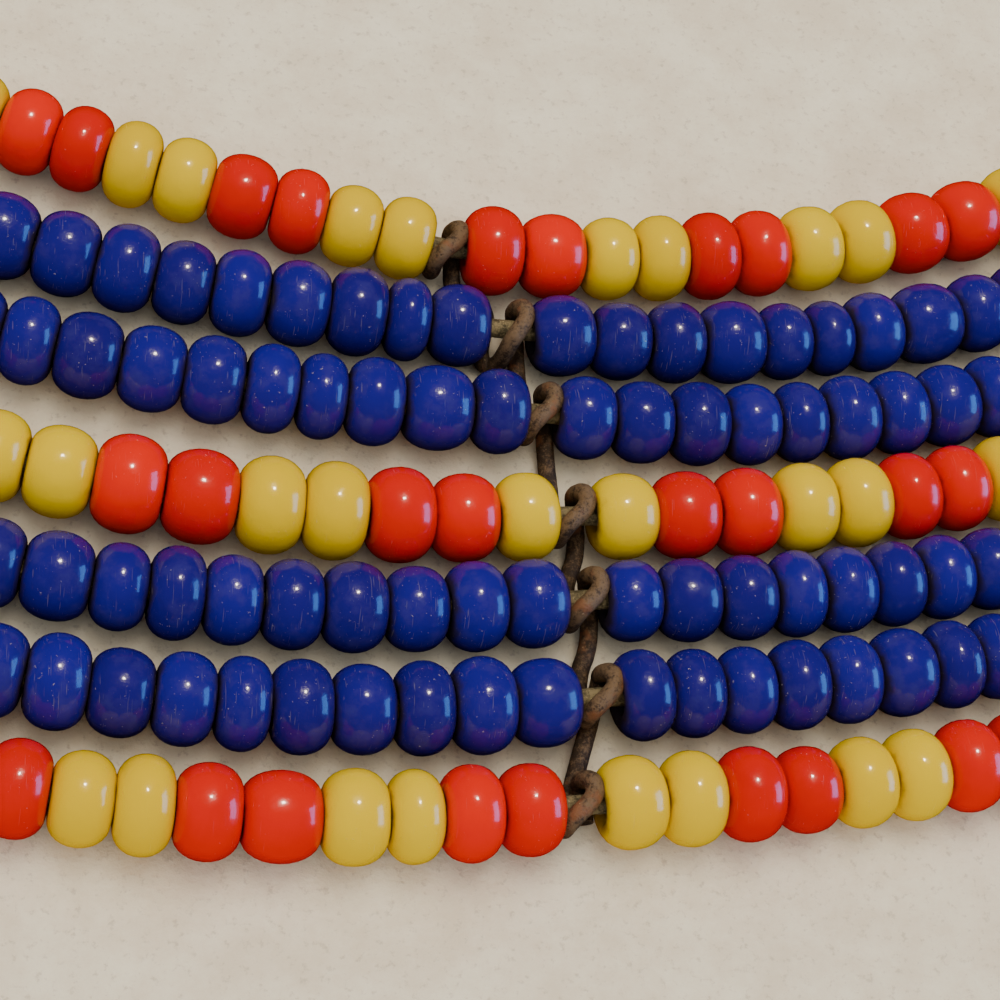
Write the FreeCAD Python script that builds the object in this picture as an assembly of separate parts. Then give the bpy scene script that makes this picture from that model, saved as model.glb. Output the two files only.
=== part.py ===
"""A flat beaded wire collar: seven rings of glass seed beads, one inside the other.

Each ring is a wire that carries the beads. Eleven thin spacer wires cross the rings from the
inner edge to the outer edge, wrap once round every ring wire and so hold the rings flat and
apart. At the back each ring wire is bent into an eye round an end rod, and one wire hook holds
the two rods together. The beads of one ring are drilled tubes here, one tube for each span
between two spacers. The collar lies on its face: the origin is on the surface at its centre.
"""
import math
import os
from collections import namedtuple

import FreeCAD
import Part

# Driving dimensions, in millimetres and degrees
ROWS = 7
SPANS = 12
INNER_ROW_RADIUS = 62.0
ROW_PITCH = 3.63
BEAD_RADIUS = 1.47
BORE_RADIUS = 0.53
BEAD_END_ROUND = 0.4
RING_WIRE_RADIUS = 0.33
SPACER_WIRE_RADIUS = 0.29
STRAND_HEIGHT = BEAD_RADIUS
KINK_RADIUS = 3.0

# The wrap of a spacer wire round a ring wire: its sides from the ring wire, out, in, and its levels
WRAP_NEAR = 0.75
WRAP_FAR = 0.85
WRAP_TOP = 2.21
WRAP_BEND = 0.7
ARRIVE_LEVEL = 0.50
LEAVE_LEVEL = 0.74
ARRIVE_SLIP = -0.36
OVER_SLIP_NEAR = -0.28
OVER_SLIP_FAR = 0.26
LEAVE_SLIP = 0.34
HALF_GAP = 0.75
WRAP_TAIL = 0.35

# Between two rings the spacer wire lies low and steps sideways to the next wrap
GROOVE_LEVEL = 0.33
GROOVE_RUN = 0.6
GROOVE_BEND = 0.5
WIDE_STEP = 1.2

# How much of a straight run its rounded ends may take up: one end rounded, or both
END_RUN_SHARE = 0.96
INNER_RUN_SHARE = 0.48

# The closure at the back
FIRST_STATION_ANGLE = 90.0
ROD_OFFSET = 3.2
ROD_RADIUS = 0.45
ROD_OVERHANG = 1.15
ROD_BALL_RADIUS = 0.7
EYE_CLEARANCE = 0.10
EYE_REACH = ROD_RADIUS + RING_WIRE_RADIUS + EYE_CLEARANCE
EYE_BEND = 0.84
EYE_START = 3.3
EYE_LEAD = 0.9
EYE_RISE_END = 1.2
EYE_END_LEVEL = 0.05
CLOSURE_GAP = 2.6
HOOK_WIRE_RADIUS = 0.4
HOOK_CLEARANCE = 0.12
HOOK_REACH = ROD_RADIUS + HOOK_WIRE_RADIUS + HOOK_CLEARANCE
HOOK_BEND = 0.9
HOOK_TIP = 2.2
HOOK_ROWS = (3, 4)

# The front spacer and the two spans beside it, row by row from the inner edge. slide: how far the
# crossing lies along the ring, to the right. shift: how far it lies outside the even circle.
# bulge_left, bulge_right: how far the middle of the span on that side stands out
FrontRow = namedtuple("FrontRow", "slide shift bulge_left bulge_right")
FRONT_STATION = 6
FRONT_ROWS = (
    FrontRow(-1.20, 0.65, -1.10, 0.45),
    FrontRow(0.95, 0.22, -0.20, 0.90),
    FrontRow(1.75, -0.10, 0.00, 0.87),
    FrontRow(2.60, 0.22, 0.85, 0.20),
    FrontRow(2.80, -0.29, 1.12, 0.17),
    FrontRow(3.00, -0.40, 1.15, -0.18),
    FrontRow(2.00, -0.30, 1.28, -0.33),
)

# The other spacers: how far each leans along the rings and bows, from row 1 to row 7
SpacerLean = namedtuple("SpacerLean", "station lean bow")
SPACER_LEANS = (
    SpacerLean(1, 1.2, 0.3),
    SpacerLean(2, -0.9, -0.4),
    SpacerLean(3, 1.8, 0.5),
    SpacerLean(4, -1.4, 0.2),
    SpacerLean(5, 0.6, -0.5),
    SpacerLean(7, -1.1, -0.3),
    SpacerLean(8, 1.6, 0.4),
    SpacerLean(9, 0.3, -0.5),
    SpacerLean(10, -1.7, 0.3),
    SpacerLean(11, 0.9, 0.5),
)

# Everywhere else the crossings and the spans stray from the even circle in slow waves
SHIFT_SWING = 0.15
SHIFT_PER_ROW = 2.1
SHIFT_PER_STATION = 1.7
BULGE_SWING = 0.45
BULGE_PER_ROW = 0.5
BULGE_PER_SPAN = 2.3


def row_fraction(row):
    return (row - 1) / (ROWS - 1)


def slide(row, station):
    """Distance of a crossing along its ring from the spacer's even place."""
    if station in (0, SPANS):
        return 0.0
    if station == FRONT_STATION:
        return FRONT_ROWS[row - 1].slide
    spacer = next(item for item in SPACER_LEANS if item.station == station)
    across = row_fraction(row) - 0.5
    return spacer.lean * across + spacer.bow * (1 - 4 * across ** 2)


def shift(row, station):
    """Distance of a crossing outside its even circle."""
    if station in (0, SPANS):
        return 0.0
    if station == FRONT_STATION:
        return FRONT_ROWS[row - 1].shift
    return SHIFT_SWING * math.sin(SHIFT_PER_ROW * row + SHIFT_PER_STATION * station)


def bulge(row, span):
    """How far the middle of a span stands outside the line between its crossings' radii."""
    if span == FRONT_STATION:
        return FRONT_ROWS[row - 1].bulge_left
    if span == FRONT_STATION + 1:
        return FRONT_ROWS[row - 1].bulge_right
    return BULGE_SWING * math.sin(BULGE_PER_ROW * row + BULGE_PER_SPAN * span)


def row_radius(row):
    return INNER_ROW_RADIUS + ROW_PITCH * (row - 1)


def crossing(row, station):
    """Radius and angle in radians of the place where a spacer or an end rod meets a ring."""
    radius = row_radius(row) + shift(row, station)
    angle = math.radians(FIRST_STATION_ANGLE + 360.0 / SPANS * station)
    if station == 0:
        angle += math.asin(ROD_OFFSET / radius)
    if station == SPANS:
        angle -= math.asin(ROD_OFFSET / radius)
    return radius, angle + slide(row, station) / radius


def at(radius, angle, height=STRAND_HEIGHT):
    return FreeCAD.Vector(radius * math.cos(angle), radius * math.sin(angle), height)


def span_arc(row, span):
    """The centre line of one span, a circular arc from one crossing to the next."""
    radius_a, angle_a = crossing(row, span - 1)
    radius_b, angle_b = crossing(row, span)
    middle = at((radius_a + radius_b) / 2 + bulge(row, span), (angle_a + angle_b) / 2)
    return Part.Arc(at(radius_a, angle_a), middle, at(radius_b, angle_b)).toShape()


def unit(vector):
    return vector * (1.0 / vector.Length)


PathPoint = namedtuple("PathPoint", "place bend")


def rounded_edges(points):
    """Straight runs through the points, joined by tangent arcs of each point's bend radius."""
    edges = []
    start = points[0].place
    last_corner = len(points) - 2
    for number in range(1, last_corner + 1):
        before = points[number - 1].place
        corner = points[number].place
        after = points[number + 1].place
        share_before = END_RUN_SHARE if number == 1 else INNER_RUN_SHARE
        share_after = END_RUN_SHARE if number == last_corner else INNER_RUN_SHARE
        room_before = (before - corner).Length * share_before
        room_after = (after - corner).Length * share_after
        back = unit(before - corner)
        ahead = unit(after - corner)
        half_turn = (math.pi - back.getAngle(ahead)) / 2
        reach = min(points[number].bend * math.tan(half_turn), room_before, room_after)
        radius = reach / math.tan(half_turn)
        centre = corner + unit(back + ahead) * (radius / math.cos(half_turn))
        first = corner + back * reach
        last = corner + ahead * reach
        middle = centre + unit(corner - centre) * radius
        edges.append(Part.LineSegment(start, first).toShape())
        edges.append(Part.Arc(first, middle, last).toShape())
        start = last
    edges.append(Part.LineSegment(start, points[-1].place).toShape())
    return edges


def wire_solid(edges, radius):
    """A round wire along a smooth path: a cylinder on each run and a torus on each arc."""
    start = edges[0].valueAt(edges[0].FirstParameter)
    ring = Part.makeCircle(radius, start, edges[0].tangentAt(edges[0].FirstParameter))
    faces = [Part.Face(Part.Wire(ring))]
    for edge in edges:
        if isinstance(edge.Curve, Part.Circle):
            curve = edge.Curve
            turn = math.degrees(edge.LastParameter - edge.FirstParameter)
            faces.append(ring.revolve(curve.Center, curve.Axis, turn))
            ring.rotate(curve.Center, curve.Axis, turn)
        else:
            step = edge.valueAt(edge.LastParameter) - edge.valueAt(edge.FirstParameter)
            faces.append(ring.extrude(step))
            ring.translate(step)
    faces.append(Part.Face(Part.Wire(ring)))
    shell = Part.makeShell(faces)
    shell.sewShape()
    return Part.makeSolid(shell)


def bead_end(place, outward):
    """The rounded end of a tube of beads: a short drilled piece turned about the wire."""
    side = FreeCAD.Vector(0, 0, 1)
    flat = BEAD_RADIUS - BEAD_END_ROUND
    bore_back = place + side * BORE_RADIUS
    bore_front = bore_back + outward * BEAD_END_ROUND
    rim_front = place + side * flat + outward * BEAD_END_ROUND
    rim_back = place + side * BEAD_RADIUS
    middle = (place + side * (flat + BEAD_END_ROUND * math.sin(math.pi / 4))
              + outward * (BEAD_END_ROUND * math.cos(math.pi / 4)))
    outline = Part.Wire([
        Part.LineSegment(bore_back, bore_front).toShape(),
        Part.LineSegment(bore_front, rim_front).toShape(),
        Part.Arc(rim_front, middle, rim_back).toShape(),
        Part.LineSegment(rim_back, bore_back).toShape(),
    ])
    return Part.Face(outline).revolve(place, outward, 360)


def bead_tube(row, span):
    """The beads of one span as one drilled tube with rounded ends."""
    arc = span_arc(row, span)
    centre = arc.Curve.Center
    gap_a = BEAD_END_ROUND + (CLOSURE_GAP if span == 1 else HALF_GAP)
    gap_b = BEAD_END_ROUND + (CLOSURE_GAP if span == SPANS else HALF_GAP)
    start_parameter = arc.getParameterByLength(gap_a)
    end_parameter = arc.getParameterByLength(arc.Length - gap_b)
    start = arc.valueAt(start_parameter)
    end = arc.valueAt(end_parameter)
    ahead = arc.tangentAt(start_parameter)
    outer = Part.Wire(Part.makeCircle(BEAD_RADIUS, start, ahead))
    bore = Part.Wire(Part.makeCircle(BORE_RADIUS, start, ahead))
    section = Part.Face([outer, bore])
    sweep = math.degrees((start - centre).getAngle(end - centre))
    tube = section.revolve(centre, FreeCAD.Vector(0, 0, 1), sweep)
    ends = [bead_end(start, ahead * -1.0), bead_end(end, arc.tangentAt(end_parameter))]
    return tube.fuse(ends).removeSplitter()


def bead_row(row):
    return Part.makeCompound([bead_tube(row, span) for span in range(1, SPANS + 1)])


def arc_edge(centre, radius, start, end):
    """The shorter arc of a circle from start to end."""
    middle = centre + unit((start + end) * 0.5 - centre) * radius
    return Part.Arc(start, middle, end).toShape()


def kink_blend(arc_a, arc_b):
    """Centre, start and end of a small arc tangent to the spans on both sides of a crossing."""
    corner = arc_a.valueAt(arc_a.LastParameter)
    centre_a, radius_a = arc_a.Curve.Center, arc_a.Curve.Radius
    centre_b, radius_b = arc_b.Curve.Center, arc_b.Curve.Radius
    side = 1.0 if (corner - centre_a).cross(corner - centre_b).z > 0 else -1.0
    reach_a = radius_a - side * KINK_RADIUS
    reach_b = radius_b - side * KINK_RADIUS
    between = centre_b - centre_a
    apart = between.Length
    along = (apart ** 2 + reach_a ** 2 - reach_b ** 2) / (2 * apart)
    across = math.sqrt(reach_a ** 2 - along ** 2)
    axis = unit(between)
    foot = centre_a + axis * along
    square = FreeCAD.Vector(-axis.y, axis.x, 0) * across
    centre = min((foot + square, foot - square), key=corner.distanceToPoint)
    start = centre_a + unit(centre - centre_a) * radius_a
    end = centre_b + unit(centre - centre_b) * radius_b
    return centre, start, end


def eye_points(ring_end, heading, rod):
    """The bends of a ring wire's eye, from the end of the ring's arc round an end rod."""
    outward = FreeCAD.Vector(math.copysign(1.0, heading.x), 0, 0)
    up = FreeCAD.Vector(0, 0, 1)
    reach = EYE_REACH
    return [
        PathPoint(ring_end, 0.0),
        PathPoint(ring_end + heading * EYE_LEAD, EYE_BEND),
        PathPoint(rod - outward * EYE_RISE_END + up * reach, EYE_BEND),
        PathPoint(rod + outward * reach + up * reach, EYE_BEND),
        PathPoint(rod + outward * reach - up * reach, EYE_BEND),
        PathPoint(rod - outward * reach - up * reach, EYE_BEND),
        PathPoint(rod - outward * reach + up * EYE_END_LEVEL, 0.0),
    ]


def ring_wire(row):
    """One ring's wire, from the eye on one end rod round to the eye on the other."""
    arcs = [span_arc(row, span) for span in range(1, SPANS + 1)]
    blends = [kink_blend(arc_a, arc_b) for arc_a, arc_b in zip(arcs, arcs[1:])]
    first, final = arcs[0], arcs[-1]
    start_parameter = first.getParameterByLength(EYE_START)
    end_parameter = final.getParameterByLength(final.Length - EYE_START)
    start = first.valueAt(start_parameter)
    end = final.valueAt(end_parameter)
    starts = [start] + [blend[2] for blend in blends]
    ends = [blend[1] for blend in blends] + [end]
    first_eye = eye_points(
        start, first.tangentAt(start_parameter) * -1.0, first.valueAt(first.FirstParameter))
    edges = rounded_edges(first_eye[::-1])
    for number, arc in enumerate(arcs):
        edges.append(arc_edge(arc.Curve.Center, arc.Curve.Radius, starts[number], ends[number]))
        if number < len(blends):
            edges.append(arc_edge(blends[number][0], KINK_RADIUS, *blends[number][1:]))
    edges += rounded_edges(
        eye_points(end, final.tangentAt(end_parameter), final.valueAt(final.LastParameter)))
    return wire_solid(edges, RING_WIRE_RADIUS)


def beside(row, station, outward, along, height):
    """A place beside a crossing: outward from the collar's centre, along the ring, and its level."""
    radius, angle = crossing(row, station)
    step = FreeCAD.Vector(-math.sin(angle), math.cos(angle), 0) * along
    return at(radius + outward, angle, height) + step


def wrap_points(row, station):
    """The bends of one turn of a spacer wire round a ring wire."""
    return [
        PathPoint(beside(row, station, WRAP_NEAR, ARRIVE_SLIP, ARRIVE_LEVEL), WRAP_BEND),
        PathPoint(beside(row, station, WRAP_NEAR, OVER_SLIP_NEAR, WRAP_TOP), WRAP_BEND),
        PathPoint(beside(row, station, -WRAP_FAR, OVER_SLIP_FAR, WRAP_TOP), WRAP_BEND),
        PathPoint(beside(row, station, -WRAP_FAR, LEAVE_SLIP, LEAVE_LEVEL), WRAP_BEND),
    ]


def groove_points(row, station):
    """Bends that take the wire sideways, low between two rings, to where the next wrap lies."""
    half = (crossing(row + 1, station)[0] - crossing(row, station)[0]) / 2
    step = slide(row + 1, station) - slide(row, station) + ARRIVE_SLIP - LEAVE_SLIP
    run = 0.0 if abs(step) > WIDE_STEP else GROOVE_RUN
    return [
        PathPoint(beside(row, station, half - run, LEAVE_SLIP, GROOVE_LEVEL), GROOVE_BEND),
        PathPoint(beside(row + 1, station, run - half, ARRIVE_SLIP, GROOVE_LEVEL), GROOVE_BEND),
    ]


def spacer_wire(station):
    """One spacer wire, from its end under the inner ring to its end under the outer ring."""
    points = [PathPoint(beside(1, station, -WRAP_TAIL, ARRIVE_SLIP, ARRIVE_LEVEL), 0.0)]
    for row in range(1, ROWS + 1):
        points += wrap_points(row, station)
        if row < ROWS:
            points += groove_points(row, station)
    points.append(PathPoint(beside(ROWS, station, WRAP_TAIL, LEAVE_SLIP, LEAVE_LEVEL), 0.0))
    return wire_solid(rounded_edges(points), SPACER_WIRE_RADIUS)


def end_rod(side):
    """A rod across the ends of all the rings, with a ball at each end that keeps the eyes on."""
    low = math.sqrt(row_radius(1) ** 2 - ROD_OFFSET ** 2) - ROD_OVERHANG
    high = math.sqrt(row_radius(ROWS) ** 2 - ROD_OFFSET ** 2) + ROD_OVERHANG
    inner = FreeCAD.Vector(side * ROD_OFFSET, low, STRAND_HEIGHT)
    outer = FreeCAD.Vector(side * ROD_OFFSET, high, STRAND_HEIGHT)
    rod = Part.makeCylinder(ROD_RADIUS, high - low, inner, FreeCAD.Vector(0, 1, 0))
    balls = [Part.makeSphere(ROD_BALL_RADIUS, place) for place in (inner, outer)]
    return rod.fuse(balls).removeSplitter()


def clasp_hook():
    """A wire clip bent over both rods, between two rings, with its ends turned in below them."""
    outward = (row_radius(HOOK_ROWS[0]) + row_radius(HOOK_ROWS[1])) / 2
    side = ROD_OFFSET + HOOK_REACH
    low = STRAND_HEIGHT - HOOK_REACH
    high = STRAND_HEIGHT + HOOK_REACH
    corners = ((-HOOK_TIP, low), (-side, low), (-side, high), (side, high), (side, low), (HOOK_TIP, low))
    points = [PathPoint(FreeCAD.Vector(x, outward, z), HOOK_BEND) for x, z in corners]
    return wire_solid(rounded_edges(points), HOOK_WIRE_RADIUS)


def save(shape, name):
    shape.exportStep(os.path.join("parts", name + ".step"))


def main():
    os.makedirs("parts", exist_ok=True)
    for row in range(1, ROWS + 1):
        save(bead_row(row), f"bead_row_{row}")
        save(ring_wire(row), f"ring_wire_{row}")
    for station in range(1, SPANS):
        save(spacer_wire(station), f"spacer_wire_{station:02d}")
    save(end_rod(-1), "end_rod_left")
    save(end_rod(1), "end_rod_right")
    save(clasp_hook(), "clasp_hook")


main()
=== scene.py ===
# %% [markdown]
# # A flat beaded collar
# Seven rings of glass seed beads lie one inside the other, like the grooves of a record. Each ring
# is a wire threaded through its beads. Thin spacer wires run across the rings and take one turn
# round every ring wire, so the collar stays flat and open. The measured frame holds the wires and
# plain tubes for the beads. This lesson threads the real beads, ages the wires and lights it all.

# %% Load the measured frame
import math
import random
from collections import namedtuple

import bpy
from mathutils import Matrix, Vector


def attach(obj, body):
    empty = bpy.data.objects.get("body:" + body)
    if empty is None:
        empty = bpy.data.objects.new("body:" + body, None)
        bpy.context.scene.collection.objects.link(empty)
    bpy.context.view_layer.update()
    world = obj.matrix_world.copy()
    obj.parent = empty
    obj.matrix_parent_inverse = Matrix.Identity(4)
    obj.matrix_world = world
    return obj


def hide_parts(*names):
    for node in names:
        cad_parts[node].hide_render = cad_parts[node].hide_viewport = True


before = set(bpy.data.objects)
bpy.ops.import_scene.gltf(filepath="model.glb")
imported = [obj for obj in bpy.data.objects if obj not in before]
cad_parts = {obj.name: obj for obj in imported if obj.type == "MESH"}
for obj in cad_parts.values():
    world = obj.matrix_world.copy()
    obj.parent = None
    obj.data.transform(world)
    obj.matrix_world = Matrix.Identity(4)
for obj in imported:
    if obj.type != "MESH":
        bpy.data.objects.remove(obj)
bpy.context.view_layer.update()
MM = 0.001

# %% [markdown]
# ## Where the rings run
# The beads must sit on the wires of the frame, so the same few sizes that drew the wires are
# written here again, in metres. A ring is twelve circular arcs that meet at the spacer wires.
# Handmade work is never quite even: each crossing slides a little along its ring and lies a
# little outside or inside the true circle. The spacer at the front was measured row by row.
# The others lean and bow by a simple rule.

# %% Sizes of the rings
ROWS = 7
SPANS = 12
FRONT_STATION = 6
INNER_ROW_RADIUS = 62.0 * MM
ROW_PITCH = 3.63 * MM
WIRE_HEIGHT = 1.47 * MM
ROD_OFFSET = 3.2 * MM
FIRST_STATION_ANGLE = 90.0
SHIFT_SWING = 0.15
SHIFT_PER_ROW = 2.1
SHIFT_PER_STATION = 1.7
BULGE_SWING = 0.45
BULGE_PER_ROW = 0.5
BULGE_PER_SPAN = 2.3

FrontRow = namedtuple("FrontRow", "slide shift bulge_left bulge_right")
FRONT_ROWS = (
    FrontRow(-1.20, 0.65, -1.10, 0.45),
    FrontRow(0.95, 0.22, -0.20, 0.90),
    FrontRow(1.75, -0.10, 0.00, 0.87),
    FrontRow(2.60, 0.22, 0.85, 0.20),
    FrontRow(2.80, -0.29, 1.12, 0.17),
    FrontRow(3.00, -0.40, 1.15, -0.18),
    FrontRow(2.00, -0.30, 1.28, -0.33),
)
SPACER_LEANS = {
    1: (1.2, 0.3),
    2: (-0.9, -0.4),
    3: (1.8, 0.5),
    4: (-1.4, 0.2),
    5: (0.6, -0.5),
    7: (-1.1, -0.3),
    8: (1.6, 0.4),
    9: (0.3, -0.5),
    10: (-1.7, 0.3),
    11: (0.9, 0.5),
}


def slide(row, station):
    """Distance in mm of a crossing along its ring from the spacer's even place."""
    if station in (0, SPANS):
        return 0.0
    if station == FRONT_STATION:
        return FRONT_ROWS[row - 1].slide
    lean, bow = SPACER_LEANS[station]
    across = (row - 1) / (ROWS - 1) - 0.5
    return lean * across + bow * (1 - 4 * across ** 2)


def shift(row, station):
    """Distance in mm of a crossing outside its even circle."""
    if station in (0, SPANS):
        return 0.0
    if station == FRONT_STATION:
        return FRONT_ROWS[row - 1].shift
    return SHIFT_SWING * math.sin(SHIFT_PER_ROW * row + SHIFT_PER_STATION * station)


def bulge(row, span):
    """Distance in mm that the middle of a span stands outside its ends."""
    if span == FRONT_STATION:
        return FRONT_ROWS[row - 1].bulge_left
    if span == FRONT_STATION + 1:
        return FRONT_ROWS[row - 1].bulge_right
    return BULGE_SWING * math.sin(BULGE_PER_ROW * row + BULGE_PER_SPAN * span)


def crossing(row, station):
    """Radius and angle of the place where a spacer or an end rod meets a ring."""
    radius = INNER_ROW_RADIUS + ROW_PITCH * (row - 1) + shift(row, station) * MM
    angle = math.radians(FIRST_STATION_ANGLE + 360.0 / SPANS * station)
    if station == 0:
        angle += math.asin(ROD_OFFSET / radius)
    if station == SPANS:
        angle -= math.asin(ROD_OFFSET / radius)
    return radius, angle + slide(row, station) * MM / radius


def flat_place(radius, angle):
    return Vector((radius * math.cos(angle), radius * math.sin(angle)))


# %% The arc of one span
def circle_centre(first, second, third):
    """Centre of the circle through three places on the floor plan."""
    near = second - first
    far = third - first
    twice_area = 2 * (near.x * far.y - near.y * far.x)
    across = far.y * near.length_squared - near.y * far.length_squared
    along = near.x * far.length_squared - far.x * near.length_squared
    return first + Vector((across, along)) / twice_area


class SpanArc:
    """The centre line of one span of ring wire, measured along its length."""

    def __init__(self, row, span):
        radius_a, angle_a = crossing(row, span - 1)
        radius_b, angle_b = crossing(row, span)
        start = flat_place(radius_a, angle_a)
        end = flat_place(radius_b, angle_b)
        middle_radius = (radius_a + radius_b) / 2 + bulge(row, span) * MM
        middle = flat_place(middle_radius, (angle_a + angle_b) / 2)
        self.centre = circle_centre(start, middle, end)
        self.radius = (start - self.centre).length
        spoke = start - self.centre
        self.start_angle = math.atan2(spoke.y, spoke.x)
        self.length = 2 * self.radius * math.asin((end - start).length / (2 * self.radius))

    def place(self, distance):
        return self.centre + flat_place(self.radius, self.start_angle + distance / self.radius)

    def heading(self, distance):
        angle = self.start_angle + distance / self.radius
        return Vector((-math.sin(angle), math.cos(angle), 0.0))


print("Inner ring, one span in mm:", round(SpanArc(1, 7).length / MM, 2))

# %% [markdown]
# ## The string of beads
# Seed beads are chopped from a long glass cane and tumbled in heat, so no two are the same length.
# The stretch that the camera looks at is charted bead by bead: the bare wire beside the spacer,
# then each bead's length and thickness in millimetres, going away from the spacer. Everywhere
# else the lengths come from a random number generator with a fixed seed, and are stretched a
# little so that each span is exactly full. One point is made for each bead, and carries its
# direction, its size, its colour and how worn it is as attributes.

# %% The charted beads beside the front spacer
BeadRun = namedtuple("BeadRun", "gap lengths girths")
LEFT_OF_FRONT = (
    BeadRun(0.56, (1.91, 1.96, 1.90, 2.19, 1.95, 1.81), (2.97, 2.90, 3.03, 2.99, 3.01, 3.08)),
    BeadRun(0.85, (2.12, 1.55, 1.99, 2.10, 1.95, 1.97, 2.03),
            (2.90, 2.93, 3.12, 3.01, 3.03, 2.91, 3.08)),
    BeadRun(0.52, (1.93, 2.40, 1.97, 1.67, 1.81, 2.05, 2.15),
            (2.97, 2.95, 3.07, 2.96, 3.08, 3.03, 2.95)),
    BeadRun(0.66, (2.05, 2.22, 2.24, 2.12, 2.19, 2.42, 2.30),
            (3.04, 3.02, 3.24, 3.32, 3.27, 3.18, 3.30)),
    BeadRun(0.76, (2.10, 1.96, 2.04, 2.10, 1.96, 1.90, 1.79, 1.80),
            (3.00, 3.04, 2.86, 3.01, 2.99, 2.97, 3.10, 2.88)),
    BeadRun(0.80, (2.22, 2.05, 1.87, 2.04, 1.97, 1.75, 1.94, 2.03),
            (2.94, 3.22, 3.10, 2.95, 3.09, 3.07, 3.03, 2.86)),
    BeadRun(0.64, (2.02, 1.92, 1.74, 2.10, 2.50, 2.09, 1.84),
            (3.00, 3.14, 3.03, 3.10, 2.93, 3.09, 3.20)),
)
RIGHT_OF_FRONT = (
    BeadRun(0.58, (2.08, 2.29, 1.96, 1.88, 1.92, 1.98, 2.14, 2.08),
            (3.20, 3.04, 2.99, 3.12, 3.20, 3.16, 3.14, 3.12)),
    BeadRun(0.66, (2.26, 2.06, 1.97, 2.25, 1.85, 1.62, 1.95),
            (2.89, 2.80, 2.93, 2.98, 2.80, 2.76, 2.92)),
    BeadRun(0.57, (2.04, 2.08, 2.01, 1.92, 1.76, 1.97), (2.92, 2.90, 2.98, 2.90, 2.91, 3.07)),
    BeadRun(0.66, (2.20, 2.27, 2.17, 2.10, 2.03), (2.97, 3.06, 3.12, 3.17, 3.16)),
    BeadRun(0.62, (1.95, 2.09, 1.97, 1.75, 1.87), (2.80, 2.87, 2.93, 3.01, 2.99)),
    BeadRun(0.55, (1.80, 1.83, 1.83, 1.87, 1.89), (3.06, 2.98, 2.94, 3.06, 3.01)),
    BeadRun(0.66, (2.12, 2.00, 2.04, 2.02, 1.94), (3.07, 3.15, 3.14, 2.90, 3.05)),
)
ROW_GIRTHS = (3.10, 2.96, 3.00, 3.14, 2.97, 3.03, 3.08)
SPACER_GAP = 0.68
CLOSURE_GAP = 2.7
USUAL_LENGTH = 2.02
LENGTH_SPREAD = 0.15
GIRTH_SPREAD = 0.07
CLOSE_UP_REACH = 24.0


def measured_run(row, span):
    """The charted beads of a span, if it lies beside the front spacer."""
    if span == FRONT_STATION:
        return LEFT_OF_FRONT[row - 1]
    if span == FRONT_STATION + 1:
        return RIGHT_OF_FRONT[row - 1]
    return BeadRun(SPACER_GAP, (), ())


def span_run(row, span, chance):
    """All the beads of a span, from the crossing nearer the front to the one nearer the clasp."""
    gap, lengths, girths = measured_run(row, span)
    far_gap = CLOSURE_GAP if span in (1, SPANS) else SPACER_GAP
    room = SpanArc(row, span).length / MM - gap - far_gap - sum(lengths)
    extra = [chance.gauss(USUAL_LENGTH, LENGTH_SPREAD) for _ in range(round(room / USUAL_LENGTH))]
    fit = room / sum(extra)
    fitted = [length * fit for length in extra]
    girth = ROW_GIRTHS[row - 1]
    extra_girths = [girth + chance.uniform(-GIRTH_SPREAD, GIRTH_SPREAD) for _ in extra]
    return BeadRun(gap, [*lengths, *fitted], [*girths, *extra_girths])


Bead = namedtuple("Bead", "place heading length girth number wear close")
TURNED_BEADS = {(2, 0): 0.19, (4, 0): 0.07, (5, 0): 0.05, (6, 0): 0.10, (7, 0): 0.09, (3, -3): -0.06}


def thread_span(row, span, number, step, chance):
    """The beads of one span in metres, counted away from the front spacer."""
    arc = SpanArc(row, span)
    run = span_run(row, span, chance)
    distance = run.gap
    beads = []
    for length, girth in zip(run.lengths, run.girths):
        middle = (distance + length / 2) * MM
        along = middle if step > 0 else arc.length - middle
        flat = arc.place(along)
        place = Vector((flat.x, flat.y, girth / 2 * MM))
        close = span in (FRONT_STATION, FRONT_STATION + 1) and distance < CLOSE_UP_REACH
        turn = Matrix.Rotation(TURNED_BEADS.get((row, number), 0.0), 3, "Z")
        beads.append(Bead(place, turn @ arc.heading(along), length * MM, girth * MM, number,
                          chance.random(), close))
        distance += length
        number += step
    return beads


def thread_row(row):
    """The beads of one ring, from the front spacer to the clasp on both sides."""
    chance = random.Random(row)
    beads = []
    number = 0
    for span in range(FRONT_STATION + 1, SPANS + 1):
        beads += thread_span(row, span, number, 1, chance)
        number = beads[-1].number + 1
    number = -1
    for span in range(FRONT_STATION, 0, -1):
        beads += thread_span(row, span, number, -1, chance)
        number = beads[-1].number - 1
    return beads


strings = {row: thread_row(row) for row in range(1, ROWS + 1)}
print("Beads on each ring:", [len(beads) for beads in strings.values()])

# %% [markdown]
# ## Shader maths as plain sums
# A material is a chain of small nodes, and most of them only add or multiply. The Signal class
# wraps a socket so that an ordinary Python sum adds those Math nodes. Every other node, in a
# material or in a Geometry Nodes tree, comes from the one node method of the bench it is made on:
# it takes the node's type, its settings, and the values or links of its inputs.

# %% Helpers that write node trees
class Signal:
    """A number that flows through a node tree. A sum written with it adds Math nodes."""

    def __init__(self, bench, socket):
        self.bench = bench
        self.socket = socket

    def sum_node(self, operation, first, second):
        node = self.bench.node("ShaderNodeMath", {"operation": operation}, {0: first, 1: second})
        return Signal(self.bench, node.outputs[0])

    def __add__(self, other):
        return self.sum_node("ADD", self, other)

    def __sub__(self, other):
        return self.sum_node("SUBTRACT", self, other)

    def __rsub__(self, other):
        return self.sum_node("SUBTRACT", other, self)

    def __mul__(self, other):
        return self.sum_node("MULTIPLY", self, other)

    __radd__ = __add__
    __rmul__ = __mul__


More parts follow.
